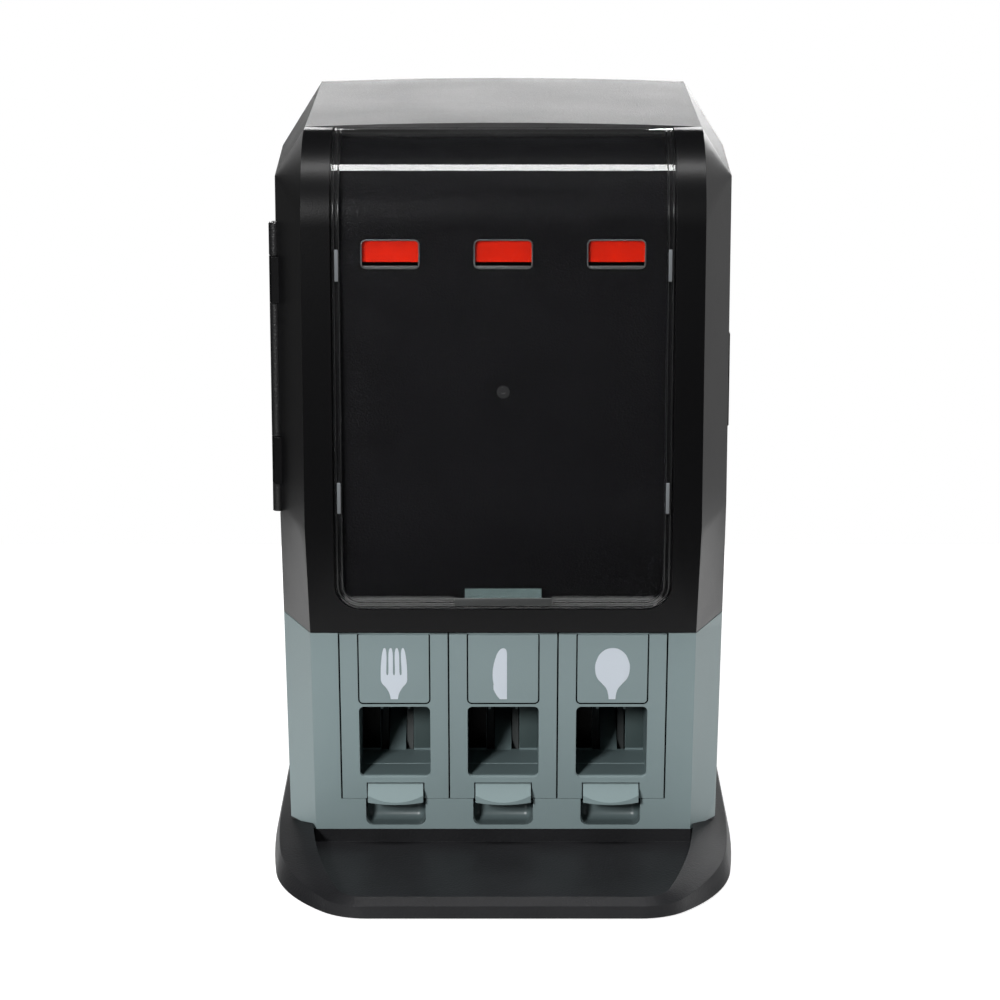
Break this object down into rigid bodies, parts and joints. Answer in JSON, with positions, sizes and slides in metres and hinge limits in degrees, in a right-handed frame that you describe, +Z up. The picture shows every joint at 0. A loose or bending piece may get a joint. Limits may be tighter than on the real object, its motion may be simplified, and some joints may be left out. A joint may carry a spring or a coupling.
{
  "type": "cutlery dispenser",
  "caption": "Countertop dispenser for loose cutlery, with a windowed front door, level flags, finger levers under square exits and a broad tray base.",
  "frame": {"origin": "on the surface it stands on, under the middle of the footprint", "axes": "+Z up, +X to the right as seen from the front, the front with the door and the exits faces -Y"},
  "size_m": [0.3178, 0.4046, 0.488],
  "materials": {
    "black_shell": "black moulded plastic with a fine grain",
    "black_base": "black moulded plastic, satin",
    "black_inner": "black plastic, smooth",
    "grey_shell": "grey-green moulded plastic, fine grain",
    "grey_inner": "grey-green plastic, smooth",
    "lever_grey": "lighter grey-green plastic, satin",
    "clear_window": "clear plastic, polished",
    "flag_red": "orange-red plastic",
    "steel": "zinc-plated steel",
    "black_screw": "blackened steel",
    "foot_rubber": "soft black rubber"
  },
  "bodies": {
    "housing": {"base_tray": "black_base", "rubber_feet": "foot_rubber", "lower_housing": "grey_shell", "rear_housing": "black_shell", "hinge_pin": "steel", "latch_pin": "steel", "latch_spring": "steel", "base_screws": "steel", "joint_screws": "steel", "bay_front_left": "grey_shell", "icon_plate_left": "grey_shell", "exit_tray_left": "grey_inner", "lever_axle_left": "steel", "return_spring_left": "steel", "chute_left": "black_inner", "bay_front_centre": "grey_shell", "icon_plate_centre": "grey_shell", "exit_tray_centre": "grey_inner", "lever_axle_centre": "steel", "return_spring_centre": "steel", "chute_centre": "black_inner", "bay_front_right": "grey_shell", "icon_plate_right": "grey_shell", "exit_tray_right": "grey_inner", "lever_axle_right": "steel", "return_spring_right": "steel", "chute_right": "black_inner"},
    "door": {"front_door": "black_shell", "window_cover": "clear_window", "inner_panel": "black_inner", "panel_clip": "grey_inner", "panel_screw": "black_screw", "flag_carrier": "black_inner", "carrier_screws": "steel", "flag_pins": "steel", "latch_catch": "black_shell"},
    "latch": {"latch_handle": "black_shell"},
    "lever_left_body": {"lever_left": "lever_grey"},
    "pusher_left_body": {"pusher_left": "grey_inner"},
    "flag_left_body": {"flag_left": "flag_red"},
    "lever_centre_body": {"lever_centre": "lever_grey"},
    "pusher_centre_body": {"pusher_centre": "grey_inner"},
    "flag_centre_body": {"flag_centre": "flag_red"},
    "lever_right_body": {"lever_right": "lever_grey"},
    "pusher_right_body": {"pusher_right": "grey_inner"},
    "flag_right_body": {"flag_right": "flag_red"}
  },
  "joints": [
    {"name": "door_hinge", "type": "hinge", "parent": "housing", "child": "door", "pos_m": [-0.1493, -0.0442, 0.3265], "axis": [0, 0, -1], "range_deg": [0, 110]},
    {"name": "latch_pivot", "type": "hinge", "parent": "housing", "child": "latch", "pos_m": [0.141, -0.0207, 0.3175], "axis": [0, 0, -1], "range_deg": [0, 8], "stiffness_Nm_per_rad": 0.6, "springref_deg": -11.46},
    {"name": "lever_pivot_left", "type": "hinge", "parent": "housing", "child": "lever_left_body", "pos_m": [-0.072, -0.01843, 0.042], "axis": [1, 0, 0], "range_deg": [0, 14], "stiffness_Nm_per_rad": 0.3, "springref_deg": -20.05},
    {"name": "pusher_slide_left", "type": "slide", "parent": "housing", "child": "pusher_left_body", "axis": [0, -1, 0], "range_m": [0, 0.01452]},
    {"name": "flag_pivot_left", "type": "hinge", "parent": "door", "child": "flag_left_body", "pos_m": [-0.072, -0.0977, 0.428], "axis": [1, 0, 0], "range_deg": [0, 35]},
    {"name": "lever_pivot_centre", "type": "hinge", "parent": "housing", "child": "lever_centre_body", "pos_m": [0, -0.01843, 0.042], "axis": [1, 0, 0], "range_deg": [0, 14], "stiffness_Nm_per_rad": 0.3, "springref_deg": -20.05},
    {"name": "pusher_slide_centre", "type": "slide", "parent": "housing", "child": "pusher_centre_body", "axis": [0, -1, 0], "range_m": [0, 0.01452]},
    {"name": "flag_pivot_centre", "type": "hinge", "parent": "door", "child": "flag_centre_body", "pos_m": [0, -0.0977, 0.428], "axis": [1, 0, 0], "range_deg": [0, 35]},
    {"name": "lever_pivot_right", "type": "hinge", "parent": "housing", "child": "lever_right_body", "pos_m": [0.072, -0.01843, 0.042], "axis": [1, 0, 0], "range_deg": [0, 14], "stiffness_Nm_per_rad": 0.3, "springref_deg": -20.05},
    {"name": "pusher_slide_right", "type": "slide", "parent": "housing", "child": "pusher_right_body", "axis": [0, -1, 0], "range_m": [0, 0.01452]},
    {"name": "flag_pivot_right", "type": "hinge", "parent": "door", "child": "flag_right_body", "pos_m": [0.072, -0.0977, 0.428], "axis": [1, 0, 0], "range_deg": [0, 35]}
  ],
  "couplings": [
    {"joint": "pusher_slide_left", "follows": "lever_pivot_left", "m_per_rad": 0.0594},
    {"joint": "pusher_slide_centre", "follows": "lever_pivot_centre", "m_per_rad": 0.0594},
    {"joint": "pusher_slide_right", "follows": "lever_pivot_right", "m_per_rad": 0.0594}
  ]
}
